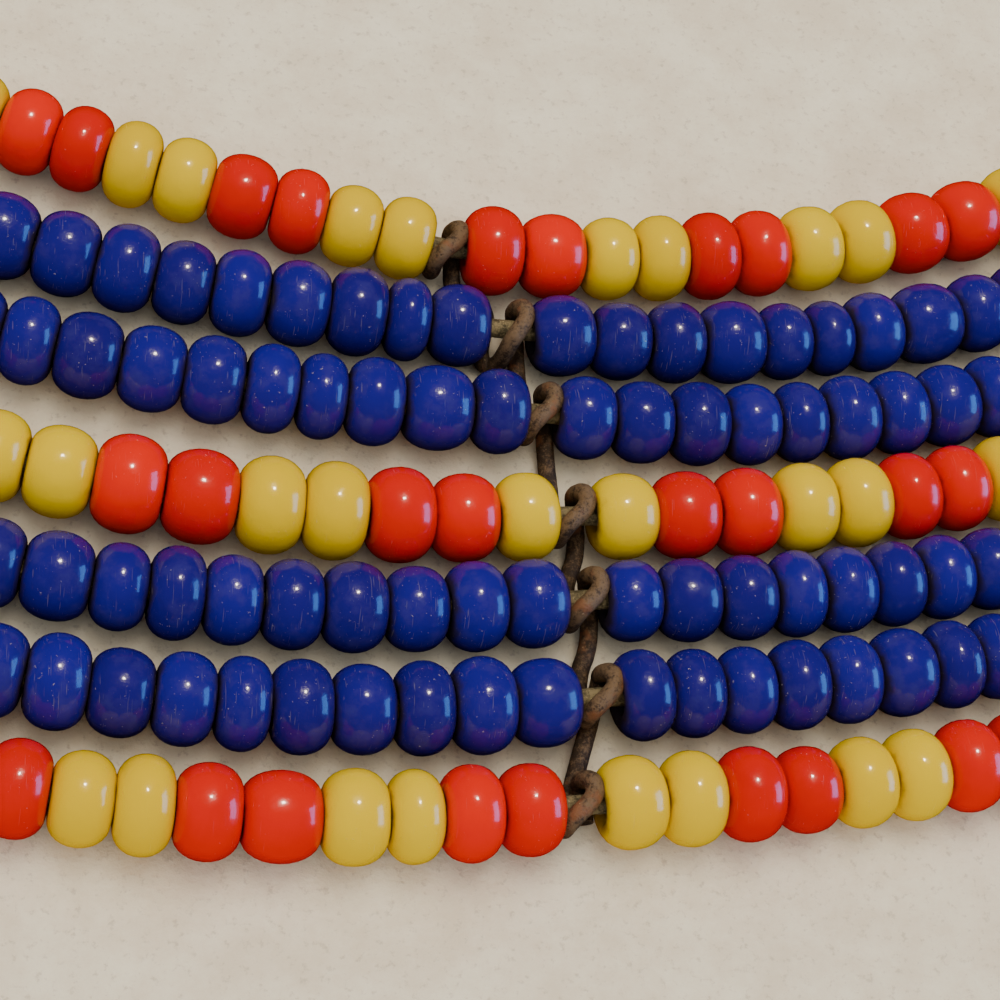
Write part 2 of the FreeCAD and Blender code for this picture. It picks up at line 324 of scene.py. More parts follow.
class Bench:
    """A node tree in the making."""

    def __init__(self, tree):
        self.tree = tree

    def feed(self, socket, value):
        """Sets a socket to a value, or links it to a signal or another socket."""
        if isinstance(value, Signal):
            value = value.socket
        if isinstance(value, bpy.types.NodeSocket):
            self.tree.links.new(value, socket)
        else:
            socket.default_value = value

    def node(self, kind, settings=None, inputs=None):
        """A node of a type, with its settings and the values or links of its inputs."""
        node = self.tree.nodes.new(kind)
        for name, value in (settings or {}).items():
            setattr(node, name, value)
        for name, value in (inputs or {}).items():
            self.feed(node.inputs[name], value)
        return node


# %% Helpers that write materials
class Workshop(Bench):
    """A material in the making."""

    def __init__(self, name):
        self.material = bpy.data.materials.new(name)
        self.material.use_nodes = True
        super().__init__(self.material.node_tree)
        self.tree.nodes.clear()
        self.shader = self.node("ShaderNodeBsdfPrincipled")
        self.node("ShaderNodeOutputMaterial", {}, {"Surface": self.shader.outputs[0]})
        self.place = self.node("ShaderNodeTexCoord").outputs["Object"]

    def shine(self, **values):
        """Values of the main shader, named as its sockets with underscores."""
        for name, value in values.items():
            self.feed(self.shader.inputs[name.replace("_", " ")], value)

    def noise(self, size, detail, roughness=0.55, place=None):
        """Cloudy variation from 0 to 1 with features of about one size, in metres."""
        node = self.node("ShaderNodeTexNoise", {}, {
            "Vector": place or self.place,
            "Scale": 1.0 / size,
            "Detail": detail,
            "Roughness": roughness,
        })
        return Signal(self, node.outputs["Fac"])

    def attribute(self, name):
        """A number that the mesh carries at each of its points."""
        return Signal(self, self.node("ShaderNodeAttribute", {"attribute_name": name}).outputs["Fac"])

    def between(self, value, low, high):
        """0 where the value is low, 1 where it is high, and a smooth rise between."""
        node = self.node("ShaderNodeMapRange", {"interpolation_type": "SMOOTHSTEP"}, {
            "Value": value,
            "From Min": low,
            "From Max": high,
        })
        return Signal(self, node.outputs["Result"])

    def height(self):
        """Height above the table, in metres."""
        return Signal(self, self.node("ShaderNodeSeparateXYZ", {}, {0: self.place}).outputs["Z"])

    def blend(self, amount, first, second):
        """A colour between two colours."""
        node = self.node("ShaderNodeMix", {"data_type": "RGBA"}, {
            "Factor": amount,
            6: first,
            7: second,
        })
        return node.outputs[2]

    def stretched(self, scale, turn):
        """Places turned and scaled, so that a pattern on them comes out stretched."""
        node = self.node("ShaderNodeMapping", {}, {
            "Vector": self.place,
            "Scale": scale,
            "Rotation": turn,
        })
        return node.outputs["Vector"]

    def relief(self, height, depth, before=None):
        """A surface normal that follows a height signal, deep by so many metres."""
        inputs = {"Height": height, "Distance": depth, "Strength": 1.0}
        if before:
            inputs["Normal"] = before
        return self.node("ShaderNodeBump", {}, inputs).outputs["Normal"]


def colour(red, green, blue):
    """A colour given as it looks on a screen, from 0 to 255, as linear light."""
    def linear(value):
        value = value / 255
        return value / 12.92 if value <= 0.04045 else ((value + 0.055) / 1.055) ** 2.4

    return (linear(red), linear(green), linear(blue), 1.0)


# %% [markdown]
# ## The glass
# The beads are opaque glass, so light stays at the surface: a strong body colour under a clear,
# smooth skin. Years of wear leave fine scratches and specks of dust. A brown film where two beads
# meet and where they touch the table is partly grime and partly painted shade. The film is placed
# by two things the mesh knows: the height above the table, and the attribute that says how near
# the hole a point lies. Low down the skin is dull, and the colour is made deep by a painted shade,
# because the beads shade one another there. The red and yellow beads are cleaner than the blue
# ones, so the glass takes its age as a number.

# %% Wear and painted shade on the glass
GlassWearAndShade = namedtuple("GlassWearAndShade", "under grime dust scratches")
CLOUD_SIZE = 0.6 * MM
PATCH_SIZE = 2.4 * MM
DUST_SIZE = 0.11 * MM
SCRATCH_WIDTH = 0.05 * MM
SCRATCH_STRETCH = (1.0, 0.06, 0.06)
SCRATCH_TURN = (0.3, 0.5, 0.9)
SHADE_FROM = 0.50 * MM
SHADE_TO = 1.85 * MM
FILM_AND_SHADE_FROM = 0.45 * MM
FILM_AND_SHADE_TO = 1.30 * MM


def glass_wear_and_shade(shop, age):
    """Painted shade, a film of grime and shade, dust and scratches at each point, from 0 to 1."""
    height = shop.height()
    cloud = shop.noise(CLOUD_SIZE, 4.0)
    patch = shop.between(shop.noise(PATCH_SIZE, 2.0), 0.38, 0.60)
    # Painted shade: the body colour darkens towards the table, where the beads shade one another.
    under = 1.0 - shop.between(height + (cloud - 0.5) * 0.5 * MM, SHADE_FROM, SHADE_TO)
    # The film is partly grime and partly painted shade: it gathers low down and near the hole, where beads
    # meet.
    low = 1.0 - shop.between(height, FILM_AND_SHADE_FROM, FILM_AND_SHADE_TO)
    film_and_shade = (shop.attribute("end") + low * 0.9) * (0.5 + 0.5 * age)
    grime_and_shade = shop.between(film_and_shade + cloud * 0.7 + shop.attribute("wear") * 0.14, 0.80, 1.25)
    dust = shop.between(shop.noise(DUST_SIZE, 2.0), 0.69, 0.75) * patch * age
    hairs = shop.stretched(SCRATCH_STRETCH, SCRATCH_TURN)
    scratches = shop.between(shop.noise(SCRATCH_WIDTH, 1.0, place=hairs), 0.68, 0.74) * patch * age
    return GlassWearAndShade(under, grime_and_shade, dust, scratches)


# %% Blue glass, and the red and yellow glass
TONE_SIZE = 1.3 * MM
HAZE_SIZE = 0.8 * MM
SWELL_SIZE = 1.1 * MM
SWELL_DEPTH = 0.07 * MM
PIT_SIZE = 0.17 * MM
PIT_DEPTH = 0.014 * MM
DUST_COLOUR = colour(186, 180, 176)


def aged_and_shaded_glass(shop, body, shade, film_and_shade, age):
    """Paints shade, a film of grime and shade, dust and scratches on a body colour; finishes the shader.
    """
    under, grime_and_shade, dust, scratches = glass_wear_and_shade(shop, age)
    # Painted shade: the body colour turns to the shade colour low down.
    shaded = shop.blend(under * 0.85, body, shade)
    # The film darkens the glass with grime and with painted shade.
    dirty_and_shaded = shop.blend(grime_and_shade * 0.85, shaded, film_and_shade)
    shop.shine(
        Base_Color=shop.blend(dust * 0.6 + scratches * 0.18, dirty_and_shaded, DUST_COLOUR),
        Roughness=0.24 + grime_and_shade * 0.4 + under * 0.3 + dust * 0.3 + scratches * 0.15,
        Coat_Weight=0.55 - under * 0.55,
        Coat_Roughness=0.10,
        Specular_IOR_Level=0.16,
        IOR=1.42,
    )
    rounded = shop.relief(shop.noise(SWELL_SIZE, 1.0), SWELL_DEPTH)
    skin = shop.noise(PIT_SIZE, 3.0) * (0.5 + age * 0.5) + dust - scratches * 0.6
    shop.shine(Normal=shop.relief(skin, PIT_DEPTH, rounded))
    return shop.material


def glass_tone(shop):
    """Each bead's own tone, with a little cloudiness inside the bead."""
    return shop.attribute("wear") * 0.6 + shop.noise(TONE_SIZE, 2.0) * 0.4


def blue_glass():
    shop = Workshop("blue_glass")
    body = shop.blend(glass_tone(shop), colour(28, 12, 110), colour(36, 22, 148))
    haze = shop.between(shop.noise(HAZE_SIZE, 5.0, 0.6), 0.46, 0.72)
    worn = shop.blend(haze * 0.25, body, colour(72, 70, 136))
    # colour(10, 4, 40) is the painted shade low down; colour(46, 38, 30) is the film, grime and painted
    # shade.
    return aged_and_shaded_glass(shop, worn, colour(10, 4, 40), colour(46, 38, 30), 1.0)


def striped_glass():
    shop = Workshop("striped_glass")
    tone = glass_tone(shop)
    yellow = shop.blend(tone, colour(224, 186, 0), colour(238, 204, 0))
    red = shop.blend(tone, colour(200, 10, 6), colour(242, 32, 0))
    is_red = shop.attribute("red")
    # Painted shade colours for the low parts of the yellow and the red beads.
    shade = shop.blend(is_red, colour(224, 172, 0), colour(176, 14, 16))
    # Film colours for yellow and red, partly grime and partly painted shade.
    film_and_shade = shop.blend(is_red, colour(134, 92, 14), colour(92, 16, 20))
    return aged_and_shaded_glass(shop, shop.blend(is_red, yellow, red), shade, film_and_shade, 0.35)


glass = {"blue_glass": blue_glass(), "striped_glass": striped_glass()}
print("Glass:", sorted(glass))

# %% [markdown]
# ## One bead, turned like a pot
# A bead is a ring of glass: a barrel outside, round lips at both ends and a drilled hole. Its
# half section is turned about its length. The close-up needs smooth beads, so they get many
# faces. The far beads are repeated more than a thousand times and get only a few dozen.

# %% The bead shapes
HOLE_SHARE = 0.36
LIP_SHARE = 0.46
BARREL_POWER = 2.05
LIP_PLACE = 0.485
HOLE_MOUTH = 0.42


def bead_section(steps):
    """Half section of a bead 1 long and 1 thick: along, from the axis, nearness to the hole."""
    section = []
    for number in range(steps + 1):
        turn = math.pi * number / steps
        along = -math.copysign(abs(math.cos(turn)) ** (2 / BARREL_POWER), math.cos(turn)) / 2
        rise = math.sin(turn) ** (2 / BARREL_POWER)
        out = (LIP_SHARE + (1 - LIP_SHARE) * rise) / 2
        section.append((along, out, 1 - rise))
    lip = (LIP_SHARE + HOLE_SHARE) / 4
    section.append((LIP_PLACE, lip, 1.0))
    section.append((HOLE_MOUTH, HOLE_SHARE / 2, 1.0))
    section.append((-HOLE_MOUTH, HOLE_SHARE / 2, 1.0))
    section.append((-LIP_PLACE, lip, 1.0))
    return section


def bead_shape(name, steps, sides):
    """A closed bead turned about the X axis, with its nearness to the hole as an attribute."""
    section = bead_section(steps)
    places = []
    ends = []
    for side in range(sides):
        turn = 2 * math.pi * side / sides
        for along, out, end in section:
            places.append((along, out * math.cos(turn), out * math.sin(turn)))
            ends.append(end)
    count = len(section)
    faces = []
    for side in range(sides):
        here = side * count
        there = (side + 1) % sides * count
        for number in range(count):
            following = (number + 1) % count
            faces.append((here + following, here + number, there + number, there + following))
    mesh = bpy.data.meshes.new(name)
    mesh.from_pydata(places, [], faces)
    mesh.attributes.new("end", "FLOAT", "POINT").data.foreach_set("value", ends)
    return bpy.data.objects.new(name, mesh)


close_bead = bead_shape("close_bead", steps=14, sides=28)
far_bead = bead_shape("far_bead", steps=4, sides=9)
print("Faces of a close bead:", len(close_bead.data.polygons))
print("Faces of a far bead:", len(far_bead.data.polygons))

# %% [markdown]
# ## Threading with Geometry Nodes
# Placing one shape on many points is what Geometry Nodes are for. The tree reads each point's
# direction and size, sets a bead there, rolls it about the wire by a random amount, makes the
# copies real and pushes the surface in and out a little, because tumbled glass is never true.

# %% Helpers that write Geometry Nodes trees
class GeometryBench(Bench):
    """A Geometry Nodes tree in the making. Its first input is the geometry it works on."""

    def __init__(self, name, works_on):
        super().__init__(bpy.data.node_groups.new(name, "GeometryNodeTree"))
        self.tree.interface.new_socket("Result", in_out="OUTPUT", socket_type="NodeSocketGeometry")
        self.input(works_on, "NodeSocketGeometry")

    def input(self, name, kind, value=None):
        socket = self.tree.interface.new_socket(name, in_out="INPUT", socket_type=kind)
        if value is not None:
            socket.default_value = value

    def named_vector(self, name):
        """A vector that each point carries."""
        return self.node("GeometryNodeInputNamedAttribute", {"data_type": "FLOAT_VECTOR"}, {
            "Name": name,
        }).outputs["Attribute"]

    def lumps(self, size, inputs=None):
        """A noise node whose features have the size that a socket gives."""
        scale = self.node("ShaderNodeMath", {"operation": "DIVIDE"}, {0: 1.0, 1: size})
        return self.node("ShaderNodeTexNoise", {}, {"Scale": scale.outputs[0], **(inputs or {})})

    def pushed(self, geometry, direction, depth):
        """The geometry with its points moved by a direction times a depth."""
        push = self.node("ShaderNodeVectorMath", {"operation": "SCALE"}, {0: direction, "Scale": depth})
        return self.node("GeometryNodeSetPosition", {}, {
            "Geometry": geometry,
            "Offset": push.outputs[0],
        }).outputs[0]

    def finish(self, geometry, material):
        """Makes copies real, shades them smoothly and sets their material."""
        real = self.node("GeometryNodeRealizeInstances", {}, {"Geometry": geometry}).outputs[0]
        smooth = self.node("GeometryNodeSetShadeSmooth", {}, {"Geometry": real}).outputs[0]
        coated = self.node("GeometryNodeSetMaterial", {}, {"Geometry": smooth, "Material": material})
        self.node("NodeGroupOutput", {}, {0: coated.outputs[0]})
        return self.tree


# %% The tree that threads beads
TILT = 0.03
FULL_TURN = 2 * math.pi


def threading_tree():
    bench = GeometryBench("thread_beads", works_on="Points")
    bench.input("Bead", "NodeSocketObject")
    bench.input("Unevenness", "NodeSocketFloat", 0.03 * MM)
    bench.input("Lump size", "NodeSocketFloat", 1.4 * MM)
    bench.input("Seed", "NodeSocketInt", 1)
    bench.input("Glass", "NodeSocketMaterial")
    given = bench.node("NodeGroupInput").outputs
    bead = bench.node("GeometryNodeObjectInfo", {}, {"Object": given["Bead"]}).outputs["Geometry"]
    aim = bench.node("FunctionNodeAlignRotationToVector", {"axis": "X"}, {
        "Vector": bench.named_vector("heading"),
    }).outputs[0]
    roll = bench.node("FunctionNodeRandomValue", {"data_type": "FLOAT_VECTOR"}, {
        "Min": (0.0, -TILT, -TILT),
        "Max": (FULL_TURN, TILT, TILT),
        "Seed": given["Seed"],
    }).outputs["Value"]
    turned = bench.node("FunctionNodeRotateRotation", {"rotation_space": "LOCAL"}, {
        "Rotation": aim,
        "Rotate By": roll,
    }).outputs[0]
    placed = bench.node("GeometryNodeInstanceOnPoints", {}, {
        "Points": given["Points"],
        "Instance": bead,
        "Rotation": turned,
        "Scale": bench.named_vector("size"),
    }).outputs["Instances"]
    real = bench.node("GeometryNodeRealizeInstances", {}, {"Geometry": placed}).outputs["Geometry"]
    lumps = bench.lumps(given["Lump size"], {"Detail": 1.0}).outputs["Color"]
    centred = bench.node("ShaderNodeVectorMath", {"operation": "SUBTRACT"}, {0: lumps, 1: (0.5, 0.5, 0.5)})
    uneven = bench.pushed(real, centred.outputs[0], given["Unevenness"])
    return bench.finish(uneven, given["Glass"])


thread_beads = threading_tree()
print("Threading tree nodes:", len(thread_beads.nodes))

# %% [markdown]
# ## Seven rings
# The first, fourth and seventh rings repeat two yellow beads and two red ones, and each starts the
# pattern at another bead. The rest are blue all round. Each ring becomes two pieces: the stretch
# beside the front spacer in smooth beads, and the way round in far beads. The tree is run on the
# points of a piece, and the result is kept as a plain mesh, because an export drops modifiers.

# %% Thread the seven rings
RED_PHASES = {1: 0, 4: 1, 7: 2}
PATTERN_LENGTH = 4
REDS_IN_PATTERN = 2


def carry(mesh, name, kind, values):
    """Gives each point of a mesh a number or a vector of its own."""
    slot = "vector" if kind == "FLOAT_VECTOR" else "value"
    mesh.attributes.new(name, kind, "POINT").data.foreach_set(slot, values)


def string_points(name, row, beads):
    """One point for each bead, with its attributes."""
    mesh = bpy.data.meshes.new(name)
    mesh.from_pydata([bead.place for bead in beads], [], [])
    phase = RED_PHASES.get(row, 0)
    carry(mesh, "heading", "FLOAT_VECTOR", [value for bead in beads for value in bead.heading])
    carry(mesh, "size", "FLOAT_VECTOR",
          [value for bead in beads for value in (bead.length, bead.girth, bead.girth)])
    carry(mesh, "wear", "FLOAT", [bead.wear for bead in beads])
    carry(mesh, "red", "FLOAT",
          [float((bead.number - phase) % PATTERN_LENGTH < REDS_IN_PATTERN) for bead in beads])
    return mesh


def run_tree(name, data, tree, settings):
    """Runs a tree on a mesh or a curve and keeps the result as a plain mesh object."""
    source = bpy.data.objects.new(name + "_source", data)
    bpy.context.scene.collection.objects.link(source)
    modifier = source.modifiers.new("tree", "NODES")
    modifier.node_group = tree
    for item in tree.interface.items_tree:
        if item.in_out == "INPUT" and item.name in settings:
            modifier[item.identifier] = settings[item.name]
    depsgraph = bpy.context.evaluated_depsgraph_get()
    result = bpy.data.meshes.new_from_object(
        source.evaluated_get(depsgraph), preserve_all_data_layers=True, depsgraph=depsgraph)
    source.modifiers.clear()
    bpy.data.objects.remove(source)
    result.name = name
    piece = bpy.data.objects.new(name, result)
    bpy.context.scene.collection.objects.link(piece)
    return piece


def thread_piece(name, row, beads, shape):
    slot_name = "striped_glass" if row in RED_PHASES else "blue_glass"
    piece = run_tree(name, string_points(name, row, beads), thread_beads,
                     {"Bead": shape, "Seed": row, "Glass": glass[slot_name]})
    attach(piece, "root")
    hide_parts(f"bead_row_{row}")
    return piece


for row, beads in strings.items():
    close = [bead for bead in beads if bead.close]
    far = [bead for bead in beads if not bead.close]
    front = thread_piece(f"beads_{row}_front", row, close, close_bead)
    round_back = thread_piece(f"beads_{row}_round", row, far, far_bead)
    print("Ring", row, "faces:", len(front.data.polygons), len(round_back.data.polygons))

# %% [markdown]
# ## Rusted metal
# The wires are thin iron. The spacer wires have rusted through to a dry, grainy brown with orange
# patches. The ring wires are a little less gone: greenish grey-brown with bright specks where the
# beads rub them. The rods and the hook at the back are handled more and are worn to a dull grey.
# All three come from one recipe: a mottled dull body, patches of rust over it, and specks of bare
# metal. The mottle is a little lighter on top, where the wires are rubbed, and darker low down,
# partly a painted shade.

# %% Three finishes of old wire
MOTTLE_SIZE = 0.35 * MM
GRAIN_SIZE = 0.08 * MM
RUST_SIZE = 0.9 * MM
SPECK_SIZE = 0.16 * MM
RUBBED_AND_SHADED_PER_METRE = 0.09 / MM
METAL_DEPTH = 0.07 * MM


def old_wire(name, dark, dull, rust, bright, rust_share, bright_share):
    """Corroded wire: a mottled body, patches of rust and specks of bare metal."""
    shop = Workshop(name)
    mottle = shop.noise(MOTTLE_SIZE, 5.0, 0.65)
    grain = shop.noise(GRAIN_SIZE, 4.0, 0.7)
    # Lighter on top where the wire is rubbed; darker low down, partly painted shade.
    rubbed_and_shaded = (shop.height() - WIRE_HEIGHT) * RUBBED_AND_SHADED_PER_METRE
    body = shop.blend(shop.between(mottle + (grain - 0.5) * 0.8 + rubbed_and_shaded, 0.36, 0.66), dark, dull)
    rusty = shop.between(shop.noise(RUST_SIZE, 4.0, 0.6), 0.62 - rust_share, 0.74 - rust_share)
    bare = shop.between(shop.noise(SPECK_SIZE, 2.0), 0.74 - bright_share, 0.80 - bright_share)
    rusted = shop.blend(rusty * 0.7, body, rust)
    shop.shine(
        Base_Color=shop.blend(bare, rusted, bright),
        Metallic=0.3 + bare * 0.5,
        Roughness=0.52 - bare * 0.25 + grain * 0.2,
    )
    shop.shine(Normal=shop.relief(grain * 0.8 + mottle * 0.5, METAL_DEPTH))
    return shop.material


metals = {
    "rusty_wire": old_wire("rusty_wire", colour(62, 46, 34), colour(128, 102, 74),
                           colour(146, 92, 56), colour(190, 166, 128), 0.07, 0.02),
    "ring_wire": old_wire("ring_wire", colour(84, 76, 54), colour(160, 144, 106),
                          colour(128, 92, 54), colour(214, 200, 160), 0.02, 0.08),
    "end_wire": old_wire("end_wire", colour(84, 78, 70), colour(136, 130, 118),
                         colour(126, 84, 52), colour(196, 190, 178), -0.02, 0.08),
}
print("Metals:", sorted(metals))

# %% [markdown]
# ## The spacer wires
# A spacer wire comes under a ring wire, turns up beside it, crosses over it on a slant and goes
# down again on its inner side, under the ring wire and on to the next ring. A rusted wire isn't a
# clean tube: it swells and thins, and its skin is rough. So each wire is a smooth curve through
# the same bends as the frame's wire, and a Geometry Nodes tree turns it into metal, with a radius
# that wanders and a grainy skin. At the front the bends follow the photograph more closely: each
# wrap is a little thicker and curls back at its far side, and at the second ring the wire comes
# out sideways in a short V before it rises.

# %% The bends of a spacer wire
Bend = namedtuple("Bend", "outward along height swell")
WRAP_NEAR = 0.75
WRAP_FAR = 0.85
WRAP_TOP = 2.21
ARRIVE_LEVEL = 0.50
LEAVE_LEVEL = 0.74
ARRIVE_SLIP = -0.36
LEAVE_SLIP = 0.34
OVER_NEAR = -0.28
OVER_FAR = 0.26
GROOVE_LEVEL = 0.36
GROOVE_RUN = 0.6
WIDE_STEP = 1.2
WRAP_TAIL = 0.35
FRONT_OVER_NEAR = -0.50
FRONT_OVER_FAR = 0.36
FRONT_OVER_MIDDLE = 0.40
FRONT_CREST = 0.72
FRONT_CURL = 0.12
FRONT_CURL_LEVEL = 1.45
FRONT_SWELL = 1.18
CURL_SWELL = 1.1
FRONT_FAR_SIDES = (0.66, 0.80, 0.80, 0.82, 0.85, 0.85, 0.85)
SHORT_V_ROW = 2
SHORT_V = (
    Bend(0.70, -1.10, 0.40, 1.0),
    Bend(1.05, -0.40, 0.42, 1.1),
    Bend(WRAP_NEAR, -0.16, WRAP_TOP, 1.1),
)


def plain_wrap():
    """The bends of one turn round a ring wire, in mm from the crossing."""
    return [
        Bend(WRAP_NEAR, ARRIVE_SLIP, ARRIVE_LEVEL, 1.0),
        Bend(WRAP_NEAR, OVER_NEAR, WRAP_TOP, 1.0),
        Bend(-WRAP_FAR, OVER_FAR, WRAP_TOP, 1.0),
        Bend(-WRAP_FAR, LEAVE_SLIP, LEAVE_LEVEL, 1.0),
    ]


def front_wrap(row):
    """The bends of one turn of the front wire, as the photograph shows them."""
    far_side = FRONT_FAR_SIDES[row - 1]
    rise = SHORT_V if row == SHORT_V_ROW else (
        Bend(WRAP_NEAR, FRONT_OVER_NEAR, ARRIVE_LEVEL, FRONT_SWELL),
        Bend(WRAP_NEAR, FRONT_OVER_NEAR, WRAP_TOP, FRONT_SWELL),
    )
    return [
        *rise,
        Bend(0.0, FRONT_OVER_MIDDLE, WRAP_TOP, FRONT_SWELL),
        Bend(-FRONT_CREST * far_side, FRONT_OVER_FAR, WRAP_TOP, FRONT_SWELL),
        Bend(-far_side, FRONT_CURL, FRONT_CURL_LEVEL, CURL_SWELL),
        Bend(-far_side, LEAVE_SLIP, LEAVE_LEVEL, 1.0),
    ]


def bend_place(row, station, bend):
    """Where a bend lies in the collar, in metres."""
    radius, angle = crossing(row, station)
    flat = flat_place(radius + bend.outward * MM, angle)
    flat += Vector((-math.sin(angle), math.cos(angle))) * bend.along * MM
    return Vector((flat.x, flat.y, bend.height * MM))


def groove_bends(row, station):
    """Bends between two rings: the wire steps sideways, low, to where the next wrap lies."""
    half = (crossing(row + 1, station)[0] - crossing(row, station)[0]) / 2 / MM
    step = slide(row + 1, station) - slide(row, station) + ARRIVE_SLIP - LEAVE_SLIP
    if station == FRONT_STATION and step < -WIDE_STEP:
        return []
    run = 0.0 if abs(step) > WIDE_STEP else GROOVE_RUN
    leaving = Bend(half - run, LEAVE_SLIP, GROOVE_LEVEL, 1.0)
    arriving = Bend(run - half, ARRIVE_SLIP, GROOVE_LEVEL, 1.0)
    return [(bend_place(row, station, leaving), 1.0), (bend_place(row + 1, station, arriving), 1.0)]


def spacer_path(station):
    """The places and the swelling along one spacer wire, from the inner ring to the outer ring."""
    path = [(bend_place(1, station, Bend(-WRAP_TAIL, ARRIVE_SLIP, ARRIVE_LEVEL, 1.0)), 1.0)]
    for row in range(1, ROWS + 1):
        wrap = front_wrap(row) if station == FRONT_STATION else plain_wrap()
        path += [(bend_place(row, station, bend), bend.swell) for bend in wrap]
        if row < ROWS:
            path += groove_bends(row, station)
    path.append((bend_place(ROWS, station, Bend(WRAP_TAIL, LEAVE_SLIP, LEAVE_LEVEL, 1.0)), 1.0))
    return path


print("Bends of the front spacer wire:", len(spacer_path(FRONT_STATION)))


# %% The tree that draws wire
DRIFT_SIZE = 1.6 * MM


def swelling_curve(bench, given):
    """The path in short steps, with a radius that wanders about the path's own."""
    fine = bench.node("GeometryNodeResampleCurve", {"mode": "LENGTH"}, {
        "Curve": given["Path"],
        "Length": given["Step"],
    }).outputs["Curve"]
    own = bench.node("GeometryNodeInputRadius").outputs["Radius"]
    slow = bench.node("ShaderNodeTexNoise", {}, {"Scale": 1 / DRIFT_SIZE, "Detail": 1.0}).outputs["Fac"]
    wander = bench.node("ShaderNodeMath", {"operation": "MULTIPLY_ADD"}, {
        0: Signal(bench, slow) - 0.5,
        1: given["Wander"],
        2: own,
    }).outputs[0]
    return bench.node("GeometryNodeSetCurveRadius", {}, {"Curve": fine, "Radius": wander}).outputs[0]


def wire_tree():
    bench = GeometryBench("draw_wire", works_on="Path")
    bench.input("Thickness", "NodeSocketFloat", 0.6 * MM)
    bench.input("Step", "NodeSocketFloat", 0.12 * MM)
    bench.input("Sides", "NodeSocketInt", 12)
    bench.input("Wander", "NodeSocketFloat", 0.3)
    bench.input("Grain depth", "NodeSocketFloat", 0.03 * MM)
    bench.input("Grain size", "NodeSocketFloat", 0.25 * MM)
    bench.input("Metal", "NodeSocketMaterial")
    given = bench.node("NodeGroupInput").outputs
    ring = bench.node("GeometryNodeCurvePrimitiveCircle", {}, {
        "Resolution": given["Sides"],
        "Radius": Signal(bench, given["Thickness"]) * 0.5,
    }).outputs["Curve"]
    skin = bench.node("GeometryNodeCurveToMesh", {}, {
        "Curve": swelling_curve(bench, given),
        "Profile Curve": ring,
        "Fill Caps": True,
    }).outputs["Mesh"]
    grain = Signal(bench, bench.lumps(given["Grain size"]).outputs["Fac"])
    normal = bench.node("GeometryNodeInputNormal").outputs[0]
    rough = bench.pushed(skin, normal, (grain - 0.5) * given["Grain depth"])
    return bench.finish(rough, given["Metal"])


draw_wire = wire_tree()
print("Wire tree nodes:", len(draw_wire.nodes))


# %% Draw the eleven spacer wires
WIRE_THICKNESS = 0.62 * MM
CLOSE_STEP = 0.06 * MM
USUAL_STEP = 0.12 * MM
CLOSE_SIDES = 20
USUAL_SIDES = 10


def path_curve(name, path):
    """A smooth curve drawn by its bends, with the swelling kept as its radius."""
    curve = bpy.data.curves.new(name, "CURVE")
    curve.dimensions = "3D"
    spline = curve.splines.new("NURBS")
    spline.points.add(len(path) - 1)
    for point, (place, swell) in zip(spline.points, path):
        point.co = (*place, 1.0)
        point.radius = swell
    spline.order_u = 3
    spline.use_endpoint_u = True
    spline.resolution_u = 12
    return curve


for station in range(1, SPANS):
    name = f"spacer_{station:02d}"
    front = station == FRONT_STATION
    piece = run_tree(name, path_curve(name, spacer_path(station)), draw_wire, {
        "Thickness": WIRE_THICKNESS,
        "Step": CLOSE_STEP if front else USUAL_STEP,
        "Sides": CLOSE_SIDES if front else USUAL_SIDES,
        "Metal": metals["rusty_wire"],
    })
    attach(piece, "root")
    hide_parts(f"spacer_wire_{station:02d}")
    print(name, "faces:", len(piece.data.polygons))

# %% [markdown]
# ## The ring wires, the rods and the hook
# These run true in the frame already, with their eyes bent round the rods, so they stay as they
# are and only get their metal.

# %% Metal for the frame's own wires
for node_name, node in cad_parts.items():
    if node_name.startswith(("bead_row", "spacer_wire")):
        continue
    slot_name = "ring_wire" if node_name.startswith("ring_wire") else "end_wire"
    node.data.materials.clear()
    node.data.materials.append(metals[slot_name])
    print(node_name, "faces:", len(node.data.polygons))

# %% [markdown]
# ## The table, the light and the camera
# The collar lies on a pale table, faintly mottled and speckled. The camera looks down at it with a
# long lens, from the front and a little to the left, and is rolled as the photograph was. A small
# warm bulb almost straight above gives each bead its sharp highlight, and a wide warm shade in the
# same place gives the light and the soft shadows. A cool window, low on the right, draws the blue
# streak down each bead. Even sky light fills the rest. The bulb and the window show only as
# reflections, and the shade, the sky and the table never do, so the highlights and the brightness
# can be set apart.

# %% The table
FLOOR_HALF = 450 * MM
MOTTLING_SIZE = 3.2 * MM
SPECKLE_SIZE = 0.35 * MM
TABLE_RELIEF = 0.05 * MM
floor_mesh = bpy.data.meshes.new("table")
floor_mesh.from_pydata(
    [(-FLOOR_HALF, -FLOOR_HALF, 0), (FLOOR_HALF, -FLOOR_HALF, 0),
     (FLOOR_HALF, FLOOR_HALF, 0), (-FLOOR_HALF, FLOOR_HALF, 0)], [], [(0, 1, 2, 3)])
floor = bpy.data.objects.new("table", floor_mesh)
bpy.context.scene.collection.objects.link(floor)
table = Workshop("table")
cloudy = table.noise(MOTTLING_SIZE, 6.0, 0.7)
speckle = table.noise(SPECKLE_SIZE, 3.0, 0.7)
pale = table.blend(table.between(cloudy, 0.30, 0.70), colour(236, 224, 200), colour(254, 247, 226))
table.shine(
    Base_Color=table.blend(table.between(speckle, 0.54, 0.72) * 0.45, pale, colour(178, 164, 148)),
    Roughness=0.62 + speckle * 0.15,
)
table.shine(Normal=table.relief(speckle, TABLE_RELIEF))
floor_mesh.materials.append(table.material)
print("Table width in mm:", round(2 * FLOOR_HALF / MM))

# %% The camera
LENS = 90.0
AZIMUTH = math.radians(-27.0)
ELEVATION = math.radians(60.0)
ROLL = math.radians(26.44)
AIM = Vector((0.089, -72.616, 1.53)) * MM
CAMERA_DISTANCE = 84.61 * MM

